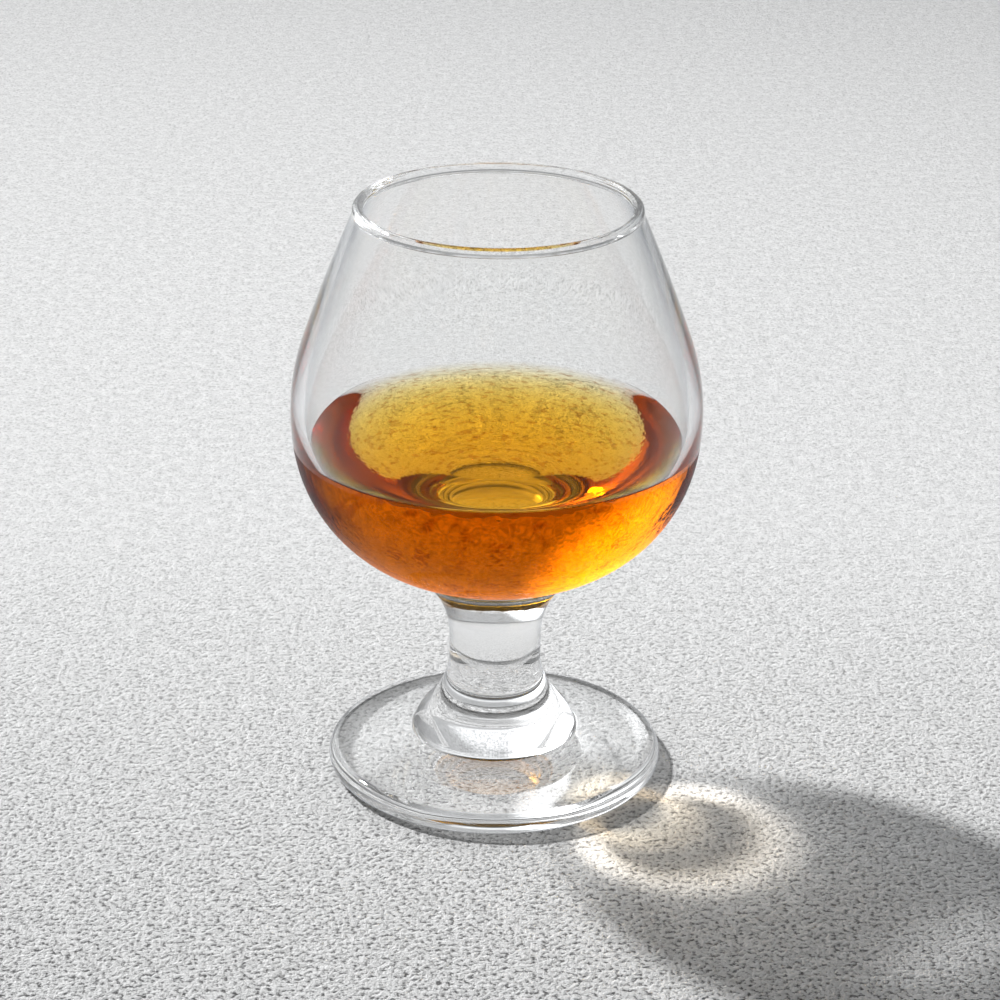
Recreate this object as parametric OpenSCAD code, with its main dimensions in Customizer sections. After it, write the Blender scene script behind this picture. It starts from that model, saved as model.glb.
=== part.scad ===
// Brandy snifter: a balloon bowl, a short solid stem and a domed foot, fused end to end,
// with a measure of brandy in the bowl. Every piece is turned about the Z axis.
// The origin is at the centre of the ring that the foot stands on.

/* [Foot] */
// Diameter over the foot's rounded edge
foot_d = 67; // [60:0.5:76]
// Thickness of the foot at its rounded edge
foot_edge_h = 4.8; // [3.6:0.1:6]
// Height of the plate's top where it runs into the dome
plate_h = 8.2; // [7:0.1:9.4]
// Diameter of the dome at the plate
dome_d = 33.2; // [30:0.2:36]
// Radius of the dome's rounded shoulder
dome_corner_r = 10; // [8:0.1:11.5]
// Radius of the hollow round between plate and dome
dome_fillet_r = 1.2; // [0.6:0.1:2]
// Height of the foot up to its seam with the stem
foot_h = 17; // [16:0.1:19]
// Width of the flat ring that the foot stands on
rest_ring_w = 3; // [1.5:0.1:6]
// Depth of the hollow under the foot
hollow_h = 1.6; // [0.8:0.1:3]

/* [Stem] */
// Length of the stem between its two seams
stem_h = 21; // [18:0.1:40]
// Diameter of the stem at its waist
stem_waist_d = 18.3; // [16:0.1:20]
// Diameter of the seam between stem and foot
foot_seam_d = 21.7; // [20.2:0.1:23]
// Radius of the sweep from the waist down to the dome
foot_sweep_r = 16; // [14:0.1:19]
// Diameter of the seam between stem and bowl
bowl_seam_d = 24.2; // [22:0.1:26]
// Radius of the sweep from the waist up to the bowl
bowl_sweep_r = 18.2; // [14:0.1:22]

/* [Bowl] */
// Diameter of the bowl at its widest
bowl_d = 80; // [76:0.5:88]
// Height of the widest place above the bowl's underside
belly_h = 33.3; // [31:0.1:38]
// Radius of the belly, seen in section
belly_r = 44.6; // [41:0.1:50]
// Radius of the round from the belly into the base
corner_r = 31; // [28:0.1:33]
// Radius of the slow curve from the belly up to the rim
shoulder_r = 390; // [250:10:600]
// Height of the rim's middle above the bowl's underside
rim_h = 74.1; // [68:0.1:82]
// Diameter of the rim, through the middle of its bead
rim_d = 53.2; // [46:0.2:58]
// Thickness of the fire-polished bead
bead_d = 2.2; // [1.8:0.1:3]
// Thickness of the wall just under the bead
rim_wall = 1.4; // [1:0.1:1.7]
// Thickness of the wall at the widest place
belly_wall = 2.5; // [1.5:0.1:3]
// Thickness of the base
base_wall = 5.5; // [4:0.1:7]
// Radius of the round from the wall into the bowl's floor, inside
floor_corner_r = 28.5; // [26:0.1:30]

/* [Drink] */
// Depth of the brandy over the middle of the floor
brandy_h = 21.7; // [10:0.1:28]
// Film between the brandy and the wall, so that the drink can turn
film = 0.1; // [0.05:0.01:0.3]

/* [Hidden] */
$fn = 96;
// Straight steps that stand for one curve of an outline
arc_steps = 16;
glass_colour = [0.86, 0.9, 0.91, 0.4];
brandy_colour = [0.8, 0.39, 0.05, 0.85];

// Points along an arc about a centre, between two angles
function arc(centre, r, from, to) = [
    for (i = [0:arc_steps])
        let (a = from + (to - from) * i / arc_steps)
        centre + r * [cos(a), sin(a)]
];

// Direction from one point to another, as an angle
function heading(from, to) = atan2(to.y - from.y, to.x - from.x);

// Third side of a right triangle, from its long side and one leg
function other_leg(long_side, leg) = sqrt(long_side * long_side - leg * leg);

// Height gained by an arc of radius r that starts upright and moves out by a given amount
function sweep_rise(r, out) = other_leg(r, r - out);

// Heights of the two seams
foot_seam_z = foot_h;
bowl_seam_z = foot_h + stem_h;

// Centres of the two sweeps of the stem, level with the ends of the straight waist
waist_r = stem_waist_d / 2;
foot_sweep_centre = [
    waist_r + foot_sweep_r,
    foot_seam_z + sweep_rise(foot_sweep_r, foot_seam_d / 2 - waist_r)
];
bowl_sweep_centre = [
    waist_r + bowl_sweep_r,
    bowl_seam_z - sweep_rise(bowl_sweep_r, bowl_seam_d / 2 - waist_r)
];
foot_seam_point = [foot_seam_d / 2, foot_seam_z];
bowl_seam_point = [bowl_seam_d / 2, bowl_seam_z];

// Dome: its shoulder touches the lower sweep of the stem without a step
dome_centre_x = dome_d / 2 - dome_corner_r;
dome_reach = foot_sweep_r + dome_corner_r;
dome_drop = other_leg(dome_reach, foot_sweep_centre.x - dome_centre_x);
dome_centre = [dome_centre_x, foot_sweep_centre.y - dome_drop];

// Plate: a shallow cone from the foot of the dome, touching the rounded edge
edge_r = foot_edge_h / 2;
edge_centre = [foot_d / 2 - edge_r, edge_r];
plate_start = [dome_d / 2, plate_h];
plate_angle = heading(plate_start, edge_centre) + asin(edge_r / norm(edge_centre - plate_start));
plate_along = [cos(plate_angle), sin(plate_angle)];
plate_normal = [-sin(plate_angle), cos(plate_angle)];

// Hollow round that touches both the plate and the dome
fillet_gap = (plate_start - dome_centre) * plate_normal + dome_fillet_r;
fillet_run = other_leg(dome_corner_r + dome_fillet_r, fillet_gap);
fillet_centre = dome_centre + fillet_gap * plate_normal + fillet_run * plate_along;

// Underside: a shallow round hollow inside the standing ring
rest_r = foot_d / 2 - edge_r - rest_ring_w;
hollow_r = (rest_r * rest_r + hollow_h * hollow_h) / (2 * hollow_h);
hollow_centre = [0, hollow_h - hollow_r];

// Bowl: the corner of its base touches the upper sweep of the stem without a step
function corner_x(widest_r, side_r, round_r, rise) =
    widest_r - side_r + other_leg(side_r - round_r, rise - round_r);
base_corner_x = corner_x(bowl_d / 2, belly_r, corner_r, belly_h);
base_reach = bowl_sweep_r + corner_r;
base_corner_rise = other_leg(base_reach, bowl_sweep_centre.x - base_corner_x);
base_corner_centre = [base_corner_x, bowl_sweep_centre.y + base_corner_rise];
base_z = base_corner_centre.y - corner_r;
belly_z = base_z + belly_h;
rim_z = base_z + rim_h;
floor_z = base_z + base_wall;
brandy_z = floor_z + brandy_h;

// Half outline of one side of the bowl's wall, from the round of its base up to the rim:
// the round, the belly and the shoulder touch each other without a step.
function bowl_side(widest_r, side_r, round_r, bottom_z, slow_r, rim_r, from) =
    let (
        belly_centre = [widest_r - side_r, belly_z],
        round_centre = [corner_x(widest_r, side_r, round_r, belly_z - bottom_z), bottom_z + round_r],
        low = heading(belly_centre, round_centre),
        rim_point = [rim_r, rim_z],
        rim_gap = norm(rim_point - belly_centre),
        slow_gap = slow_r - side_r,
        reach = (slow_r * slow_r - slow_gap * slow_gap - rim_gap * rim_gap) / (2 * slow_gap),
        high = heading(belly_centre, rim_point) - acos(reach / rim_gap),
        slow_centre = belly_centre - slow_gap * [cos(high), sin(high)]
    )
    concat(
        arc(round_centre, round_r, from, low),
        arc(belly_centre, side_r, low, high),
        arc(slow_centre, slow_r, high, heading(slow_centre, rim_point))
    );

// Inside of the bowl, drawn in by an inset from the glass
function inner_side(inset) = bowl_side(
    bowl_d / 2 - belly_wall - inset,
    belly_r - belly_wall - inset,
    floor_corner_r - inset,
    floor_z + inset,
    shoulder_r - inset,
    (rim_d - rim_wall) / 2 - inset,
    -90
);

function reversed(points) = [for (i = [len(points) - 1:-1:0]) points[i]];

// Pressed foot with its dome, solid apart from the shallow hollow underneath
module foot() {
    color(glass_colour)
        rotate_extrude()
            polygon(concat(
                arc(hollow_centre, hollow_r, 90, heading(hollow_centre, [rest_r, 0])),
                arc(edge_centre, edge_r, -90, 90 + plate_angle),
                arc(fillet_centre, dome_fillet_r, plate_angle - 90, heading(fillet_centre, dome_centre)),
                arc(dome_centre, dome_corner_r, heading(dome_centre, fillet_centre),
                    heading(dome_centre, foot_sweep_centre)),
                arc(foot_sweep_centre, foot_sweep_r, heading(foot_sweep_centre, dome_centre) + 360,
                    heading(foot_sweep_centre, foot_seam_point) + 360),
                [[0, foot_seam_z]]
            ));
}

// Solid stem, waisted between its two sweeps
module stem() {
    color(glass_colour)
        rotate_extrude()
            polygon(concat(
                [[0, foot_seam_z]],
                arc(foot_sweep_centre, foot_sweep_r, heading(foot_sweep_centre, foot_seam_point) + 360,
                    180),
                arc(bowl_sweep_centre, bowl_sweep_r, 180, heading(bowl_sweep_centre, bowl_seam_point)),
                [[0, bowl_seam_z]]
            ));
}

// Blown bowl with its thick base, and the bead melted round its rim
module bowl() {
    color(glass_colour)
        rotate_extrude() {
            polygon(concat(
                [[0, bowl_seam_z]],
                arc(bowl_sweep_centre, bowl_sweep_r, heading(bowl_sweep_centre, bowl_seam_point),
                    heading(bowl_sweep_centre, base_corner_centre)),
                bowl_side(bowl_d / 2, belly_r, corner_r, base_z, shoulder_r, (rim_d + rim_wall) / 2,
                    heading(base_corner_centre, bowl_sweep_centre)),
                reversed(inner_side(0)),
                [[0, floor_z]]
            ));
            translate([rim_d / 2, rim_z])
                circle(d = bead_d);
        }
}

// Brandy, filling the bowl up to its level
module brandy() {
    color(brandy_colour)
        rotate_extrude()
            intersection() {
                polygon(concat([[0, floor_z + film]], inner_side(film), [[0, rim_z]]));
                square([bowl_d / 2, brandy_z]);
            }
}

foot();
stem();
bowl();
brandy();
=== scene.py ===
import bpy
import numpy as np
from mathutils import Matrix, Vector


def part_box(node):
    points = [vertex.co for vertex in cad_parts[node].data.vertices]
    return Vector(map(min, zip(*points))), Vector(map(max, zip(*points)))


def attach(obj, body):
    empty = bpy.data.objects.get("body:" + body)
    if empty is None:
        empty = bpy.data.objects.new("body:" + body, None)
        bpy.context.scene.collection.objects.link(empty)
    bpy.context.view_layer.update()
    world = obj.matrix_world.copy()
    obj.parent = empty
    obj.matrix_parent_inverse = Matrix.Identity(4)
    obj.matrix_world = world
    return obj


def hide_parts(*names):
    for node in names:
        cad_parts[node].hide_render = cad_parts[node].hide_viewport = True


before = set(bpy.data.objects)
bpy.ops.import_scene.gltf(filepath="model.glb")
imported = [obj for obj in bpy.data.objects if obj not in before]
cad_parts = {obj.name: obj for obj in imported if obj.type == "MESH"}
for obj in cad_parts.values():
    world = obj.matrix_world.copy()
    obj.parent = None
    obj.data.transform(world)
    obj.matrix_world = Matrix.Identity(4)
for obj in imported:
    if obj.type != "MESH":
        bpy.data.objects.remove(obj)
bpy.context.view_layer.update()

# Foot
# The foot is pressed from one gather of clear glass: a round plate with a rounded edge and a domed middle.
# It stands on a flat ring round a shallow hollow, and the top of its dome is fused to the stem.

foot_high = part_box("foot")[1]
foot_radius = foot_high.x
foot_seam_height = foot_high.z
foot_seam_radius = 0.01085
edge_radius = 0.0024
plate_height = 0.0082
dome_radius = 0.0166
dome_round = 0.0100
dome_hollow = 0.0012
foot_sweep = 0.0160
waist_radius = 0.00915
rest_ring_width = 0.0030
underside_depth = 0.0016

# Longest step along an outline, fewest steps on one curve, and steps round the axis
outline_step = 0.0007
fewest_steps = 12
steps_round = 256
# Turn of an outline, in radians, from which its ring is a hard corner
corner_turn = 0.35
# Gap under which two outline points are the same
same_point = 1e-7


def arc(centre, radius, start, end):
    """Points of a circle's arc: the centre plus the radius times (cosine, sine) of angles in radians."""
    steps = max(fewest_steps, int(abs(end - start) * radius / outline_step))
    angle = np.linspace(start, end, steps + 1)
    return np.asarray(centre) + radius * np.column_stack((np.cos(angle), np.sin(angle)))


def heading(start, end):
    """Angle in radians of the straight line from one point to another."""
    run, rise = np.subtract(end, start)
    return np.arctan2(rise, run)


def other_leg(long_side, leg):
    """Third side of a right triangle: the root of the long side squared less the leg squared."""
    return np.sqrt(long_side**2 - leg**2)


def turned(name, stretches, finishes):
    """Closed body of revolution: each outline point (r, z) goes round to (r cos a, r sin a, z).

    The stretches are (points, finish number) and follow each other from one point on the axis to another,
    which become single poles. A stretch drops its first point where the one before ends there.
    """
    rows, row_finish = [], []
    for points, finish in stretches:
        points = np.atleast_2d(points)
        if rows and np.allclose(rows[-1][-1], points[0], atol=same_point):
            points = points[1:]
        rows.append(points)
        row_finish.append(np.full(len(points), finish))
    outline = np.concatenate(rows)
    band_finish = np.concatenate(row_finish)[1:]

    along = np.diff(outline, axis=0)
    lean = np.arctan2(along[:, 1], along[:, 0])
    turn = np.abs(np.angle(np.exp(1j * np.diff(lean))))
    ring_is_corner = turn > corner_turn

    rings = outline[1:-1]
    angle = np.linspace(0, 2 * np.pi, steps_round, endpoint=False)
    grid = np.empty((len(rings), steps_round, 3))
    grid[..., 0] = rings[:, :1] * np.cos(angle)
    grid[..., 1] = rings[:, :1] * np.sin(angle)
    grid[..., 2] = rings[:, 1:]
    poles = np.array([[0, 0, outline[0, 1]], [0, 0, outline[-1, 1]]])
    points = np.concatenate((grid.reshape(-1, 3), poles))

    here = np.arange(len(rings) * steps_round).reshape(len(rings), steps_round)
    beside = np.roll(here, -1, axis=1)
    quads = np.stack((here[:-1], beside[:-1], beside[1:], here[1:]), axis=-1).reshape(-1, 4)
    first_pole, last_pole = len(points) - 2, len(points) - 1
    first_fan = np.column_stack((np.full(steps_round, first_pole), beside[0], here[0]))
    last_fan = np.column_stack((here[-1], beside[-1], np.full(steps_round, last_pole)))
    faces = first_fan.tolist() + quads.tolist() + last_fan.tolist()

    mesh = bpy.data.meshes.new(name)
    mesh.from_pydata(points, [], faces)
    for finish in finishes:
        mesh.materials.append(finish)
    mesh.polygons.foreach_set("material_index", np.repeat(band_finish, steps_round).astype(np.int32))
    mesh.polygons.foreach_set("use_smooth", np.ones(len(faces), bool))

    ring_of_point = np.concatenate((np.repeat(np.arange(len(rings)), steps_round), [-1, -1]))
    ends = np.empty(2 * len(mesh.edges), np.int32)
    mesh.edges.foreach_get("vertices", ends)
    ring_a, ring_b = ring_of_point[ends.reshape(-1, 2)].T
    corner = (ring_a == ring_b) & np.append(ring_is_corner, False)[ring_a]
    mesh.attributes.new("sharp_edge", "BOOLEAN", "EDGE").data.foreach_set("value", corner)
    mesh.update()

    piece = bpy.data.objects.new(name, mesh)
    bpy.context.scene.collection.objects.link(piece)
    return piece


def make(tree, kind, inputs=None, **settings):
    """Adds a shader node with its settings. Each input takes a value or joins another node's output."""
    node = tree.nodes.new("ShaderNode" + kind)
    for setting, value in settings.items():
        setattr(node, setting, value)
    for socket, value in (inputs or {}).items():
        if isinstance(value, bpy.types.NodeSocket):
            tree.links.new(value, node.inputs[socket])
        else:
            node.inputs[socket].default_value = value
    return node


def spread(tree, value, start, end, low, high, shape="LINEAR"):
    """A value that goes from low to high while another goes from start to end, and holds beyond both."""
    ranges = {"Value": value, "From Min": start, "From Max": end, "To Min": low, "To Max": high}
    return make(tree, "MapRange", ranges, interpolation_type=shape).outputs["Result"]


def product(tree, first, second):
    """Two values multiplied."""
    return make(tree, "Math", {0: first, 1: second}, operation="MULTIPLY").outputs["Value"]


def mixed(tree, share, first, second, blend="MIX"):
    """Two colours mixed by a share. Sockets go by number, because a mix node repeats their names."""
    return make(tree, "Mix", {0: share, 6: first, 7: second}, data_type="RGBA", blend_type=blend).outputs[2]


def clear_glass_surface():
    """Node group for fire-polished glass: waves left by the mould, smears of wiping, and ripples.

    Height is one noise. Roughness is a second noise where it is high. Tint is a pale grey-green that thins
    out with the second noise, times Clearness. By Painted Ripple Shade it goes towards brown where a third
    noise, pressed flat along the axis, is high: painted shade, dark strokes in place of light the ripples
    bend.
    """
    group = bpy.data.node_groups.new("clear glass surface", "ShaderNodeTree")
    usual_values = {"Waves per Metre": 60.0, "Smears per Metre": 35.0, "Clearness": 1.0, "Painted Ripple Shade": 0.0}
    for title, usual in usual_values.items():
        socket = group.interface.new_socket(title, in_out="INPUT", socket_type="NodeSocketFloat")
        socket.default_value = usual
    for title, kind in (("Tint", "Color"), ("Roughness", "Float"), ("Height", "Float")):
        group.interface.new_socket(title, in_out="OUTPUT", socket_type="NodeSocket" + kind)
    asked = group.nodes.new("NodeGroupInput").outputs
    given = group.nodes.new("NodeGroupOutput").inputs
    place = make(group, "TexCoord").outputs["Object"]

    waves = make(group, "TexNoise", {"Vector": place, "Scale": asked["Waves per Metre"], "Detail": 1.0})
    group.links.new(waves.outputs["Fac"], given["Height"])

    smear_look = {"Vector": place, "Scale": asked["Smears per Metre"], "Detail": 4.0, "Distortion": 1.2}
    smears = make(group, "TexNoise", smear_look).outputs["Fac"]
    smear_roughness = 0.035
    group.links.new(spread(group, smears, 0.55, 0.8, 0.0, smear_roughness), given["Roughness"])

    thick_tint = (0.985, 0.992, 0.990, 1)
    thin_tint = (0.996, 0.998, 0.998, 1)
    tint = mixed(group, smears, thick_tint, thin_tint)
    dimming = {"Vector": tint, "Scale": asked["Clearness"]}
    dimmed = make(group, "VectorMath", dimming, operation="SCALE").outputs["Vector"]

    # Ripples painted into the colour as brown strokes: painted shade in place of light that ripples would
    # bend
    ripples_per_metre = 480.0
    ripple_flatness = (1.0, 1.0, 2.2)
    painted_ripple_brown = (0.5, 0.3, 0.2, 1)
    flattening = {0: place, 1: ripple_flatness}
    flatter = make(group, "VectorMath", flattening, operation="MULTIPLY").outputs["Vector"]
    ripple_look = {"Vector": flatter, "Scale": ripples_per_metre, "Detail": 3.0}
    ripples = make(group, "TexNoise", ripple_look).outputs["Fac"]
    shade = product(group, spread(group, ripples, 0.52, 0.66, 0.0, 1.0), asked["Painted Ripple Shade"])
    group.links.new(mixed(group, shade, dimmed, painted_ripple_brown, "MULTIPLY"), given["Tint"])
    return group


glass_surface = clear_glass_surface()
glass_index = 1.52


def tilted(tree):
    """How far a surface is turned away: 0 where a ray meets it squarely, and 1 along it."""
    return make(tree, "LayerWeight", {"Blend": 0.5}).outputs["Facing"]


def clear_glass(name, waves_per_metre, wave_depth, face_on_mirror=1.0, painted_edge_shade=None, clearness=1.0):
    """Clear glass: a fully transmissive surface whose waves, smears and tint come from the shared group.

    A painted edge shade is multiplied in where the surface is seen along itself, darkening its outline.
    """
    glass = bpy.data.materials.new(name)
    glass.use_nodes = True
    tree = glass.node_tree
    shader = tree.nodes["Principled BSDF"]
    shader.inputs["Transmission Weight"].default_value = 1.0
    shader.inputs["IOR"].default_value = glass_index
    shader.inputs["Specular Tint"].default_value = (face_on_mirror, face_on_mirror, face_on_mirror, 1)
    wanted = {"Waves per Metre": waves_per_metre, "Clearness": clearness}
    surface = make(tree, "Group", wanted, name="glass surface", node_tree=glass_surface)
    relief_look = {"Strength": 1.0, "Distance": wave_depth, "Height": surface.outputs["Height"]}
    relief = make(tree, "Bump", relief_look, name="relief")
    tint = surface.outputs["Tint"]
    # Painted shade: a grey multiplied into the colour where the surface is seen along itself
    if painted_edge_shade:
        along_edge = spread(tree, tilted(tree), 0.6, 0.9, 0.0, 1.0)
        tint = mixed(tree, along_edge, tint, painted_edge_shade, "MULTIPLY")
    tree.links.new(tint, shader.inputs["Base Color"])
    tree.links.new(surface.outputs["Roughness"], shader.inputs["Roughness"])
    tree.links.new(relief.outputs["Normal"], shader.inputs["Normal"])
    return glass


def with_little_mirror(tree, shader, index, mirror_kept, inner_kept=1.0):
    """Takes part of the mirror image off a surface, as a polarising filter does, by mixing in plain bending.

    Light from outside the body keeps the share mirror_kept of the image, and light from inside inner_kept.
    """
    bending = {"IOR": index, "Roughness": shader.inputs["Roughness"].default_value}
    bent = make(tree, "BsdfRefraction", bending)
    for socket in ("Roughness", "Normal"):
        for joined in shader.inputs[socket].links:
            tree.links.new(joined.from_socket, bent.inputs[socket])
    inside = make(tree, "NewGeometry").outputs["Backfacing"]
    share = spread(tree, inside, 0.0, 1.0, 1.0 - mirror_kept, 1.0 - inner_kept)
    surfaces = {"Fac": share, 1: shader.outputs["BSDF"], 2: bent.outputs["BSDF"]}
    return make(tree, "MixShader", surfaces).outputs["Shader"]


def let_light_by(tree, shader, share):
    """Lets a share of the light that falls through a clear body go straight on to what it lights."""
    rays = make(tree, "LightPath").outputs
    lights = {0: rays["Is Shadow Ray"], 1: rays["Is Diffuse Ray"]}
    lighting = make(tree, "Math", lights, operation="MAXIMUM").outputs["Value"]
    passing = make(tree, "BsdfTransparent", {"Color": share}).outputs["BSDF"]
    either = make(tree, "MixShader", {"Fac": lighting, 1: shader, 2: passing}).outputs["Shader"]
    tree.links.new(either, tree.nodes["Material Output"].inputs["Surface"])


def finish_glass(glass, share, mirror_kept=1.0):
    """Gives a clear glass its share of light let by, and weakens its mirror image where that is asked."""
    tree = glass.node_tree
    shader = tree.nodes["Principled BSDF"]
    surface = shader.outputs["BSDF"]
    if mirror_kept < 1.0:
        surface = with_little_mirror(tree, shader, glass_index, mirror_kept)
    let_light_by(tree, surface, share)


def share_by_tilt(tree, face_on, edge_on):
    """Share of light let through: from face_on where light meets a surface squarely to edge_on along it."""
    return spread(tree, tilted(tree), 0.4, 1.0, face_on, edge_on)


def no_surface(name):
    """A face that light goes straight through, where two bodies are fused or one wets the other."""
    passing = bpy.data.materials.new(name)
    passing.use_nodes = True
    passing.node_tree.nodes["Principled BSDF"].inputs["Alpha"].default_value = 0.0
    return passing


# Waves of the pressed glass and their depth, and the painted greys of shade where thick glass is seen along
# its edge
pressed_waves_per_metre = 70.0
pressed_wave_depth = 0.00003
thick_edge_painted_shade = (0.45, 0.49, 0.55, 1)
rounded_edge_painted_shade = (0.5, 0.56, 0.64, 1)
# Share of its mirror image that the plate keeps
plate_mirror_kept = 0.3

fused_seam = no_surface("fused seam")
foot_glass = clear_glass("pressed foot glass", pressed_waves_per_metre, pressed_wave_depth,
                         painted_edge_shade=thick_edge_painted_shade)
foot_light = share_by_tilt(foot_glass.node_tree, face_on=1.0, edge_on=0.3)
finish_glass(foot_glass, foot_light, plate_mirror_kept)
edge_glass = clear_glass("rounded foot edge", pressed_waves_per_metre, pressed_wave_depth,
                         painted_edge_shade=rounded_edge_painted_shade)
finish_glass(edge_glass, share_by_tilt(edge_glass.node_tree, face_on=0.4, edge_on=0.0))

# The dome's shoulder touches the lower sweep of the stem
foot_sweep_centre = np.array([
    waist_radius + foot_sweep,
    foot_seam_height + other_leg(foot_sweep, waist_radius + foot_sweep - foot_seam_radius),
])
dome_centre = np.array([dome_radius - dome_round, 0.0])
dome_drop = other_leg(foot_sweep + dome_round, foot_sweep_centre[0] - dome_centre[0])
dome_centre[1] = foot_sweep_centre[1] - dome_drop

# The plate is a shallow cone that touches the rounded edge
edge_centre = np.array([foot_radius - edge_radius, edge_radius])
plate_start = np.array([dome_radius, plate_height])
plate_reach = np.linalg.norm(edge_centre - plate_start)
plate_angle = heading(plate_start, edge_centre) + np.arcsin(edge_radius / plate_reach)
plate_along = np.array([np.cos(plate_angle), np.sin(plate_angle)])
plate_normal = np.array([-np.sin(plate_angle), np.cos(plate_angle)])

# A small hollow round touches both the plate and the dome
hollow_gap = (plate_start + dome_hollow * plate_normal - dome_centre) @ plate_normal
hollow_centre = dome_centre + hollow_gap * plate_normal
hollow_centre = hollow_centre + other_leg(dome_round + dome_hollow, hollow_gap) * plate_along

# The underside is a shallow round hollow inside the standing ring
rest_radius = foot_radius - edge_radius - rest_ring_width
underside_round = (rest_radius**2 + underside_depth**2) / (2 * underside_depth)
underside_centre = np.array([0.0, underside_depth - underside_round])

up = np.pi / 2
full_turn = 2 * np.pi
foot_seam_point = (foot_seam_radius, foot_seam_height)
underside = arc(underside_centre, underside_round, up, heading(underside_centre, (rest_radius, 0)))
edge = arc(edge_centre, edge_radius, -up, up + plate_angle)
dome_side = np.concatenate((
    arc(hollow_centre, dome_hollow, plate_angle - up, heading(hollow_centre, dome_centre)),
    arc(dome_centre, dome_round, heading(dome_centre, hollow_centre),
        heading(dome_centre, foot_sweep_centre)),
    arc(foot_sweep_centre, foot_sweep, heading(foot_sweep_centre, dome_centre) + full_turn,
        heading(foot_sweep_centre, foot_seam_point) + full_turn),
))
foot = turned(
    "foot_pressed",
    [(underside, 0), (edge[:1], 0), (edge, 2), (dome_side, 0), ([0, foot_seam_height], 1)],
    [foot_glass, fused_seam, edge_glass],
)
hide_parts("foot")
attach(foot, "glass")

# Stem
# The stem is a short solid rod of clear glass, drawn thinner in the middle while hot.
# Its two ends are fused to the foot's dome and to the bowl's base.

bowl_seam_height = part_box("stem")[1].z
bowl_seam_radius = 0.0121
bowl_sweep = 0.0182
drawn_waves_per_metre = 90.0
drawn_wave_depth = 0.00002

# Light that the stem lets by, at rises over its lower seam: its upper half passes on a warm patch of painted
# light
stem_painted_light_peak = 3.2
stem_painted_light = (
    (0.0, (0.26, 0.26, 0.26)),
    (0.0100, (0.28, 0.27, 0.25)),
    (0.0135, (1.0, 0.88, 0.70)),
    (0.0175, (0.8, 0.68, 0.52)),
    (0.0210, (0.3, 0.29, 0.27)),
)


def height_on(tree):
    """Height over the table of each point of a surface."""
    place = make(tree, "TexCoord").outputs["Object"]
    return make(tree, "SeparateXYZ", {"Vector": place}).outputs["Z"]


def painted_light_by_height(tree, seam_height, brightest, stops):
    """Colour of light let by: eased between stops of (rise over a seam, colour), times the brightest."""
    first_rise, last_rise = stops[0][0], stops[-1][0]
    along = spread(tree, height_on(tree), seam_height + first_rise, seam_height + last_rise, 0.0, 1.0)
    ramp = make(tree, "ValToRGB", {"Fac": along})
    ramp.color_ramp.interpolation = "EASE"
    ends = ramp.color_ramp.elements[0], ramp.color_ramp.elements[1]
    for end, (_, colour) in zip(ends, (stops[0], stops[-1])):
        end.color = (*colour, 1)
    for rise, colour in stops[1:-1]:
        between = ramp.color_ramp.elements.new((rise - first_rise) / (last_rise - first_rise))
        between.color = (*colour, 1)
    # Shares above one send on more light than falls on the glass: painted light
    scaling = {"Vector": ramp.outputs["Color"], "Scale": brightest}
    return make(tree, "VectorMath", scaling, operation="SCALE").outputs["Vector"]


stem_glass = clear_glass("drawn stem glass", drawn_waves_per_metre, drawn_wave_depth,
                         painted_edge_shade=thick_edge_painted_shade)
# Painted light: a warm patch in the shadow that the stem throws on the table
painted_light_let_by = painted_light_by_height(stem_glass.node_tree, foot_seam_height, stem_painted_light_peak, stem_painted_light)
finish_glass(stem_glass, painted_light_let_by)

bowl_seam_point = (bowl_seam_radius, bowl_seam_height)
bowl_sweep_centre = np.array([
    waist_radius + bowl_sweep,
    bowl_seam_height - other_leg(bowl_sweep, waist_radius + bowl_sweep - bowl_seam_radius),
])
stem_outline = np.concatenate((
    arc(foot_sweep_centre, foot_sweep, heading(foot_sweep_centre, foot_seam_point) + full_turn, np.pi),
    arc(bowl_sweep_centre, bowl_sweep, np.pi, heading(bowl_sweep_centre, bowl_seam_point)),
))
stem = turned(
    "stem_drawn",
    [([0, foot_seam_height], 1), (stem_outline[:1], 1), (stem_outline, 0), ([0, bowl_seam_height], 1)],
    [stem_glass, fused_seam],
)
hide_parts("stem")
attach(stem, "glass")

# Bowl
# The bowl is a balloon of clear glass with a thick base, widest a little above the drink.
# Its cut lip is melted into a round bead, and its base is fused to the stem.

bowl_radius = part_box("bowl")[1].x
belly_rise = 0.0333
belly_round = 0.0446
base_round = 0.0310
shoulder_round = 0.390
rim_rise = 0.0741
rim_radius = 0.0266
bead_radius = 0.0011
rim_wall = 0.0014
belly_wall = 0.0025
base_wall = 0.0055
floor_round = 0.0285
bead_neck = 0.00025
# Length over which the wall's changes of curvature are spread
wall_ease = 0.012
# Waves of the blown glass, its painted grey edge shade, and what its thin wall keeps of colour and mirror
# image
blown_waves_per_metre = 45.0
blown_wave_depth = 0.00002
wall_edge_painted_shade = (0.42, 0.47, 0.54, 1)
wall_clearness = 0.975
wall_face_on_mirror = 0.1
# Ripples in the glass round the drink, and the heights between which they fade out and their painted shade
# weakens
base_ripples_per_metre = 700.0
base_ripple_depth = 0.00003
ripple_fade = (0.060, 0.067)
painted_ripple_shade_fade = (0.0650, 0.0700)
painted_ripple_shades = (0.9, 0.1)
base_mirror_kept = 0.3
# Light that the base lets by, at rises over its seam: a warm ring of painted light, and missing further up
base_painted_light_peak = 5.4
base_painted_light = (
    (0.0005, (0.08, 0.07, 0.06)),
    (0.0035, (0.22, 0.19, 0.15)),
    (0.0047, (1.0, 0.90, 0.76)),
    (0.0063, (1.0, 0.94, 0.86)),
    (0.0078, (0.23, 0.23, 0.23)),
    (0.0120, (0.125, 0.125, 0.125)),
)


def round_centre_x(widest, side_round, low_round, rise):
    """How far out the low round's centre lies, so that it touches the belly's round and the level base.

    The two centres are as far apart as their radii differ, and the way out is the other leg of that gap.
    """
    return widest - side_round + other_leg(side_round - low_round, rise - low_round)


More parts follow.
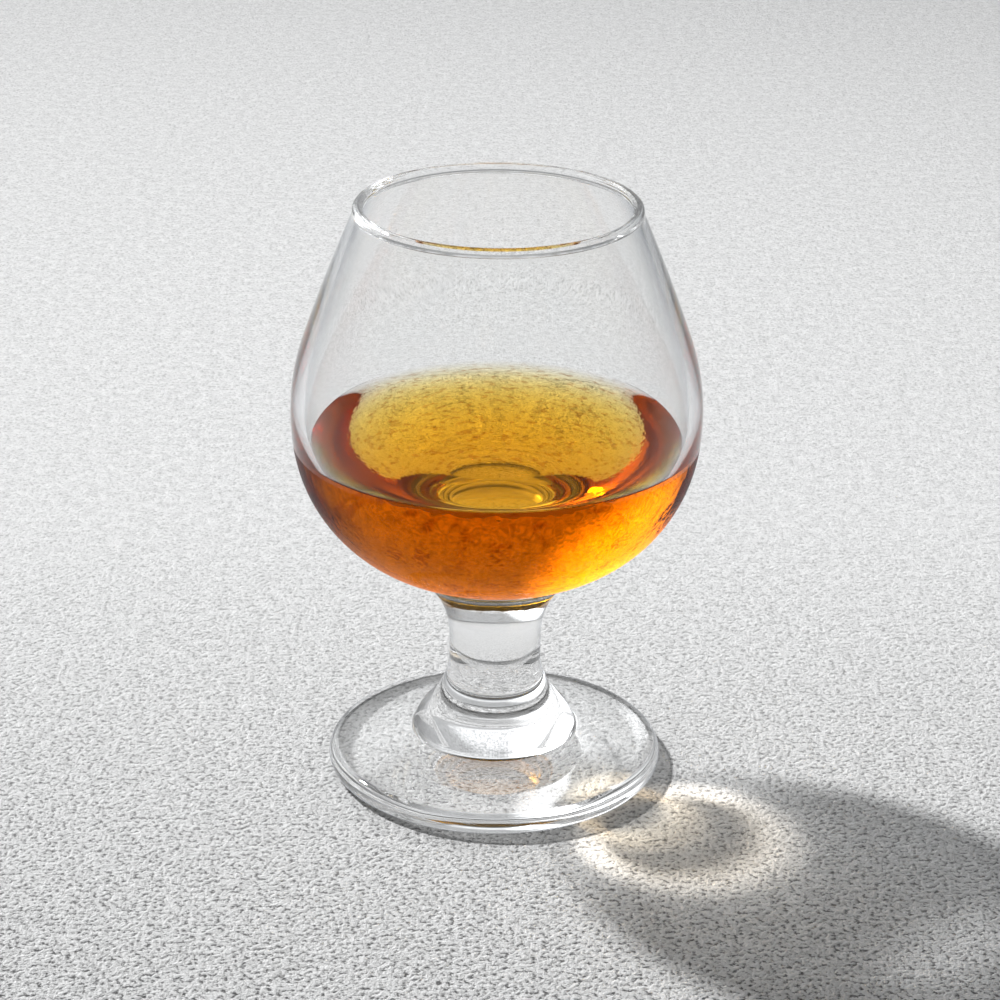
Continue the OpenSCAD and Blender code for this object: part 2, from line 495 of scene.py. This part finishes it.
def wall_side(widest, side_round, low_round, bottom, slow_round, rim, start):
    """One side of the wall from the base up to the rim: three arcs that touch each other.

    Two arcs touch on the line through their centres, and the uppermost goes through the rim's point.
    Gives the two lower arcs, the centre of the uppermost arc, and the angle at which that arc starts.
    """
    belly_centre = np.array([widest - side_round, belly_height])
    low_x = round_centre_x(widest, side_round, low_round, belly_height - bottom)
    low_centre = np.array([low_x, bottom + low_round])
    low = heading(belly_centre, low_centre)
    rim_point = np.array([rim, rim_height])
    rim_gap = np.linalg.norm(rim_point - belly_centre)
    slow_gap = slow_round - side_round
    reach = (slow_round**2 - slow_gap**2 - rim_gap**2) / (2 * slow_gap)
    high = heading(belly_centre, rim_point) - np.arccos(reach / rim_gap)
    slow_centre = belly_centre - slow_gap * np.array([np.cos(high), np.sin(high)])
    curves = [arc(low_centre, low_round, start, low), arc(belly_centre, side_round, low, high)]
    return curves, slow_centre, high


def eased(outline, reach):
    """The outline with its changes of curvature spread over a length.

    It is resampled in even steps, averaged along itself over the reach, and the shrinkage of that average
    is taken off again: twice the average, less the average of the average. Both ends keep their place and
    heading.
    """
    along = np.append(0, np.cumsum(np.linalg.norm(np.diff(outline, axis=0), axis=1)))
    even = np.linspace(0, along[-1], int(along[-1] / outline_step) + 1)
    points = np.column_stack([np.interp(even, along, outline[:, axis]) for axis in (0, 1)])
    half = max(1, int(reach / outline_step / 2))
    weights = np.hanning(2 * half + 3)[1:-1]
    weights /= weights.sum()

    def averaged(line):
        before = 2 * line[0] - line[half:0:-1]
        after = 2 * line[-1] - line[-2:-half - 2:-1]
        padded = np.concatenate((before, line, after))
        return np.column_stack([np.convolve(padded[:, axis], weights, "valid") for axis in (0, 1)])

    once = averaged(points)
    return 2 * once - averaged(once)


def lower_meeting(centre_a, radius_a, centre_b, radius_b):
    """Lower of the two points where two circles a and b cross.

    It lies along the line of centres by (gap squared + a squared - b squared) / (2 gap) from a's centre,
    and aside by the other leg of a's radius.
    """
    gap = np.linalg.norm(centre_b - centre_a)
    along = (gap**2 + radius_a**2 - radius_b**2) / (2 * gap)
    ahead = (centre_b - centre_a) / gap
    aside = other_leg(radius_a, along) * np.array([-ahead[1], ahead[0]])
    middle = centre_a + along * ahead
    return min(middle + aside, middle - aside, key=lambda point: point[1])


base_x = round_centre_x(bowl_radius, belly_round, base_round, belly_rise)
base_lift = other_leg(bowl_sweep + base_round, bowl_sweep_centre[0] - base_x)
base_centre = np.array([base_x, bowl_sweep_centre[1] + base_lift])
base_height = base_centre[1] - base_round
belly_height = base_height + belly_rise
rim_height = base_height + rim_rise
floor_height = base_height + base_wall

# The wall's outside, with its changes of curvature eased, drawn on a little past the rim
outer_rim = rim_radius + rim_wall / 2
outer_curves, outer_slow, outer_high = wall_side(
    bowl_radius, belly_round, base_round, base_height, shoulder_round, outer_rim,
    heading(base_centre, bowl_sweep_centre),
)
past_rim = heading(outer_slow, (outer_rim, rim_height)) + wall_ease / shoulder_round
outer_shoulder = arc(outer_slow, shoulder_round, outer_high, past_rim)
outer_wall = eased(np.concatenate((*outer_curves, outer_shoulder)), wall_ease)

# The wall's inside: rounds of its own up to the belly, then a thickness that eases from belly to rim
inner_curves, _, _ = wall_side(
    bowl_radius - belly_wall, belly_round - belly_wall, floor_round, floor_height, shoulder_round,
    rim_radius - rim_wall / 2, -up,
)
below_belly = np.concatenate(([[0.0, floor_height]], *inner_curves))
below_belly = below_belly[below_belly[:, 1] < belly_height]
along = np.gradient(outer_wall, axis=0)
inward = np.column_stack((-along[:, 1], along[:, 0])) / np.linalg.norm(along, axis=1)[:, None]
risen = np.clip((outer_wall[:, 1] - belly_height) / (rim_height - belly_height), 0, 1)
thickness = belly_wall + (rim_wall - belly_wall) * risen**2 * (3 - 2 * risen)
above_belly = (outer_wall + thickness[:, None] * inward)[outer_wall[:, 1] > belly_height]
inner_wall = eased(np.concatenate((below_belly, above_belly)), wall_ease)

# The bead runs into both sides of the wall with a small hollow round
bead_centre = np.array([rim_radius, rim_height])
neck_reach = bead_radius + bead_neck
outer_neck = lower_meeting(bead_centre, neck_reach, outer_slow, shoulder_round + bead_neck)
inner_neck = lower_meeting(bead_centre, neck_reach, outer_slow, shoulder_round - rim_wall - bead_neck)
bead = np.concatenate((
    arc(outer_neck, bead_neck, heading(outer_neck, outer_slow) + full_turn,
        heading(outer_neck, bead_centre)),
    arc(bead_centre, bead_radius, heading(bead_centre, outer_neck),
        heading(bead_centre, inner_neck) + full_turn),
    arc(inner_neck, bead_neck, heading(inner_neck, bead_centre), heading(outer_slow, inner_neck)),
))
outer_wall = outer_wall[outer_wall[:, 1] < bead[0, 1] - outline_step / 2]
inner_wall = inner_wall[inner_wall[:, 1] < bead[-1, 1] - outline_step / 2]
base_sweep = arc(bowl_sweep_centre, bowl_sweep, heading(bowl_sweep_centre, bowl_seam_point),
                 heading(bowl_sweep_centre, base_centre))
outer_wall = np.concatenate((base_sweep[:-1], outer_wall))

# The drink's level, and the height to which it climbs up the wall
brandy_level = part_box("brandy")[1].z
capillary_length = 0.00179
climb_angle = np.radians(38)
contact_height = brandy_level + 2 * capillary_length * np.sin(climb_angle / 2)
contact_radius = np.interp(contact_height, inner_wall[:, 1], inner_wall[:, 0])
contact = np.array([[contact_radius, contact_height]])
wet = inner_wall[inner_wall[:, 1] < contact_height]
dry = inner_wall[inner_wall[:, 1] > contact_height]

wetted_wall = no_surface("wetted wall")
bowl_glass = clear_glass("blown bowl glass", blown_waves_per_metre, blown_wave_depth, wall_face_on_mirror,
                         wall_edge_painted_shade, wall_clearness)
finish_glass(bowl_glass, share_by_tilt(bowl_glass.node_tree, face_on=0.45, edge_on=0.0))
rim_glass = clear_glass("fire-polished rim", blown_waves_per_metre, blown_wave_depth)
finish_glass(rim_glass, share_by_tilt(rim_glass.node_tree, face_on=0.6, edge_on=0.0))
base_glass = clear_glass("bowl glass round the drink", base_ripples_per_metre, base_ripple_depth,
                         wall_face_on_mirror)
tree = base_glass.node_tree
# Painted light: a warm ring in the shadow that the base throws on the table
painted_light_let_by = painted_light_by_height(tree, bowl_seam_height, base_painted_light_peak, base_painted_light)
finish_glass(base_glass, painted_light_let_by, base_mirror_kept)

# The ripples fade out towards the drink's edge, and their painted shade weakens
surface = tree.nodes["glass surface"]
height = height_on(tree)
left_over = spread(tree, height, *ripple_fade, 1.0, 0.0, "SMOOTHSTEP")
tree.links.new(product(tree, surface.outputs["Height"], left_over), tree.nodes["relief"].inputs["Height"])
painted_ripple_shading = spread(tree, height, *painted_ripple_shade_fade, *painted_ripple_shades, "SMOOTHSTEP")
tree.links.new(painted_ripple_shading, surface.inputs["Painted Ripple Shade"])

bowl = turned(
    "bowl_blown",
    [
        ([0, bowl_seam_height], 1),
        (outer_wall[:1], 1),
        (outer_wall[outer_wall[:, 1] < contact_height], 3),
        (outer_wall[outer_wall[:, 1] > contact_height], 0),
        (bead, 4),
        (dry[::-1], 0),
        (contact, 0),
        (wet[::-1], 2),
    ],
    [bowl_glass, fused_seam, wetted_wall, base_glass, rim_glass],
)
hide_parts("bowl")
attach(bowl, "glass")

# Brandy
# A measure of amber brandy, poured into the bowl. It wets the glass, so its edge climbs the wall a little.
# It is free to turn in the bowl, as when the glass is swirled.

# Gap that lets the drink turn
film = 0.0001
brandy_index = 1.43
# What light keeps of each colour, and how fast the drink takes the rest out
brandy_amber = (0.99, 0.797, 0.0, 1)
brandy_density = 150.0
# Mirror image that the drink's surface keeps, seen from above and from inside the drink
surface_mirror_kept = 0.08
surface_inner_kept = 0.6
# Rings on the climbing edge and on the level surface, and the slope at which one goes over into the other
climb_rings = 60
level_rings = 30
level_slope = 0.01

wet_along = np.gradient(wet, axis=0)
wet_along /= np.linalg.norm(wet_along, axis=1)[:, None]
wet_side = wet + film * np.column_stack((-wet_along[:, 1], wet_along[:, 0]))
wet_side[0, 0] = 0.0
brandy_edge = contact - [[film, 0.0]]


def climb_reach(angle):
    """Distance out where a climbing liquid has a slope: a (ln tan(slope / 4) + 2 cos(slope / 2)).

    Here a is the capillary length. The height over the level is 2 a sin(slope / 2).
    """
    return capillary_length * (np.log(np.tan(angle / 4)) + 2 * np.cos(angle / 2))


slope = np.geomspace(climb_angle, level_slope, climb_rings)[1:]
climbing = np.column_stack((
    brandy_edge[0, 0] - climb_reach(climb_angle) + climb_reach(slope),
    brandy_level + 2 * capillary_length * np.sin(slope / 2),
))
level_radii = np.linspace(climbing[-1, 0], 0, level_rings)[1:]
level = np.column_stack((level_radii, np.full(len(level_radii), brandy_level)))

amber = bpy.data.materials.new("amber brandy")
amber.use_nodes = True
tree = amber.node_tree
free_surface = tree.nodes["Principled BSDF"]
free_surface.inputs["Transmission Weight"].default_value = 1.0
free_surface.inputs["IOR"].default_value = brandy_index
free_surface.inputs["Roughness"].default_value = 0.0
open_side = with_little_mirror(tree, free_surface, brandy_index, surface_mirror_kept, surface_inner_kept)
glass_side = make(tree, "BsdfGlass", {"IOR": brandy_index / glass_index, "Roughness": 0.0}).outputs["BSDF"]
wetted = make(tree, "Attribute", attribute_name="wetted").outputs["Fac"]
either_side = make(tree, "MixShader", {"Fac": wetted, 1: open_side, 2: glass_side}).outputs["Shader"]
let_light_by(tree, either_side, share_by_tilt(tree, face_on=0.5, edge_on=0.0))
depth_colour = make(tree, "VolumeAbsorption", {"Color": brandy_amber, "Density": brandy_density})
tree.links.new(depth_colour.outputs["Volume"], tree.nodes["Material Output"].inputs["Volume"])

# The drink has one material. Its finish numbers only tell the wetted faces from the open ones.
brandy = turned("brandy_measure", [(wet_side, 0), (brandy_edge, 0), (climbing, 1), (level, 1)], [amber])
face_is_open = np.empty(len(brandy.data.polygons), np.int32)
brandy.data.polygons.foreach_get("material_index", face_is_open)
brandy.data.attributes.new("wetted", "FLOAT", "FACE").data.foreach_set("value", 1.0 - face_is_open)
brandy.data.polygons.foreach_set("material_index", np.zeros(len(face_is_open), np.int32))
brandy.visible_shadow = False
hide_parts("brandy")
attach(brandy, "drink")

# Floor
# A pale plastered table top with fine pits, their shade painted dark, and a soft mottle, which takes the
# shadow of the glass.
# Its pits are deepest in front, and smoothed away towards the back.

floor_reach = 6.0
floor_gap = 0.0001
grains_per_metre = 1000.0
grain_depth = 0.001
mottles_per_metre = 330.0
# Shade of the plaster and painted shade of its pits, and how far the mottle dims and lifts them
plaster_and_painted_pit_shades = (0.72, 0.1)
mottle_shades = (0.9, 1.05)
# Values of the grain at which a pit is full and at which it ends
pit_grain = (0.34, 0.52)
# Places from front to back on the table, and how much of the pits is left there
pitted_places = (-0.10, 0.12)
pitted_shares = (1.0, 0.32)

floor_mesh = bpy.data.meshes.new("floor")
floor_sides = ((-1, -1), (1, -1), (1, 1), (-1, 1))
floor_corners = [(x * floor_reach, y * floor_reach, -floor_gap) for x, y in floor_sides]
floor_mesh.from_pydata(floor_corners, [], [(0, 1, 2, 3)])
floor = bpy.data.objects.new("floor", floor_mesh)
bpy.context.scene.collection.objects.link(floor)

plaster = bpy.data.materials.new("pale plaster")
plaster.use_nodes = True
tree = plaster.node_tree
shader = tree.nodes["Principled BSDF"]
shader.inputs["Roughness"].default_value = 0.9
shader.inputs["Specular IOR Level"].default_value = 0.1
place = make(tree, "TexCoord").outputs["Object"]
grain_look = {"Vector": place, "Scale": grains_per_metre, "Detail": 5.0, "Roughness": 0.6}
grain = make(tree, "TexNoise", grain_look).outputs["Fac"]
from_front = make(tree, "SeparateXYZ", {"Vector": place}).outputs["Y"]
pitted = spread(tree, from_front, *pitted_places, *pitted_shares)
# Painted shade: the colour darkens in the pits, as shade falls in the plaster's hollows
painted_pit_shade = product(tree, spread(tree, grain, *pit_grain, 1.0, 0.0, "SMOOTHSTEP"), pitted)
mottle = make(tree, "TexNoise", {"Vector": place, "Scale": mottles_per_metre, "Detail": 3.0}).outputs["Fac"]
patches = spread(tree, mottle, 0.35, 0.65, *mottle_shades)
plaster_with_painted_pit_shade = product(tree, spread(tree, painted_pit_shade, 0.0, 1.0, *plaster_and_painted_pit_shades), patches)
tree.links.new(plaster_with_painted_pit_shade, shader.inputs["Base Color"])
roughcast = {"Strength": 1.0, "Distance": grain_depth, "Height": product(tree, grain, pitted)}
tree.links.new(make(tree, "Bump", roughcast).outputs["Normal"], shader.inputs["Normal"])
floor_mesh.materials.append(plaster)

# Light and camera
# One soft spot lamp high behind to the left lights the table. A pale sky, brightest on that side, fills in.
# The camera stands in front and above, turned by a small roll.

lamp_place = Vector((-6.73, 5.85, 8.03))
lamp_data = bpy.data.lights.new("key", "SPOT")
lamp_data.spot_size = np.radians(10.5)
lamp_data.spot_blend = 1.0
lamp_data.shadow_soft_size = 0.5
lamp_data.energy = 7100.0
lamp = bpy.data.objects.new("key", lamp_data)
lamp.location = lamp_place
lamp.rotation_mode = "QUATERNION"
lamp.rotation_quaternion = (-lamp_place).to_track_quat("-Z", "Y")
bpy.context.scene.collection.objects.link(lamp)

sky = bpy.data.worlds.new("sky")
bpy.context.scene.world = sky
sky.use_nodes = True
tree = sky.node_tree
sky_light = tree.nodes["Background"]
sky_light.inputs["Color"].default_value = (0.97, 0.985, 1.0, 1)
outward = make(tree, "TexCoord").outputs["Generated"]
rise = make(tree, "SeparateXYZ", {"Vector": outward}).outputs["Z"]


def sky_ease(value, start, end, low, high):
    """A value that eases from low to high while another goes from start to end."""
    return spread(tree, value, start, end, low, high, "SMOOTHSTEP")


def aligned(aim):
    """How closely a direction of the sky agrees with an aim: the cosine of the angle between them."""
    return make(tree, "VectorMath", {0: outward, 1: aim}, operation="DOT_PRODUCT").outputs["Value"]


def total(first, second):
    """Two values added."""
    return make(tree, "Math", {0: first, 1: second}, operation="ADD").outputs["Value"]


# A wide bright side and a hot spot lower than the lamp, cut off at the table and overhead, uneven as cloud
bright_side_aim = (-0.574, 0.819, 0.0)
hot_spot_aim = (-0.532, 0.759, 0.375)
cloud_fineness = 70.0
bright_side = sky_ease(aligned(bright_side_aim), -0.1, 0.55, 0.10, 0.41)
hot_spot = sky_ease(aligned(hot_spot_aim), 0.88, 1.0, 0.0, 2.2)
over_table = sky_ease(rise, -0.06, 0.0, 0.0, 1.0)
higher = sky_ease(rise, 0.35, 0.6, 1.2, 2.6)
below_top = product(tree, higher, sky_ease(rise, 0.6, 0.75, 1.0, 0.0))
clouds = make(tree, "TexNoise", {"Vector": outward, "Scale": cloud_fineness}).outputs["Fac"]
screen = product(tree, product(tree, total(bright_side, hot_spot), over_table), below_top)
screen = product(tree, screen, sky_ease(clouds, 0.3, 0.7, 0.65, 1.35))
ceiling = sky_ease(rise, 0.2, 0.9, 0.03, 0.08)
tree.links.new(total(screen, ceiling), sky_light.inputs["Strength"])

camera_place = Vector((0.0, -0.5499, 0.2926))
camera_aim = Vector((0.00077, 0.0, 0.05701))
# Roll in radians, and focal length in sensor widths
camera_roll = 0.0085
sensor_width = 36.0
focal_share = 3.045
camera_data = bpy.data.cameras.new("camera")
camera_data.sensor_width = sensor_width
camera_data.lens = sensor_width * focal_share
camera_data.clip_start = 0.01
camera_data.clip_end = 50.0
camera = bpy.data.objects.new("camera", camera_data)
ahead = (camera_aim - camera_place).normalized()
right = ahead.cross(Vector((0, 0, 1))).normalized()
above = right.cross(ahead)
right_rolled = right * np.cos(camera_roll) + above * np.sin(camera_roll)
above_rolled = above * np.cos(camera_roll) - right * np.sin(camera_roll)
camera_turn = Matrix((right_rolled, above_rolled, -ahead)).transposed().to_4x4()
camera.matrix_world = Matrix.Translation(camera_place) @ camera_turn
bpy.context.scene.collection.objects.link(camera)
bpy.context.scene.camera = camera
bpy.context.scene.view_settings.view_transform = "Standard"

# Clear glass and a drink need many bends and passes of light to look clear
light_bends = 64
light_passes = 32
bpy.context.scene.cycles.transparent_max_bounces = light_passes
bpy.context.scene.cycles.max_bounces = light_bends
bpy.context.scene.cycles.transmission_bounces = light_bends
bpy.context.scene.cycles.glossy_bounces = light_bends
bpy.context.scene.cycles.caustics_reflective = False
bpy.context.scene.cycles.caustics_refractive = False
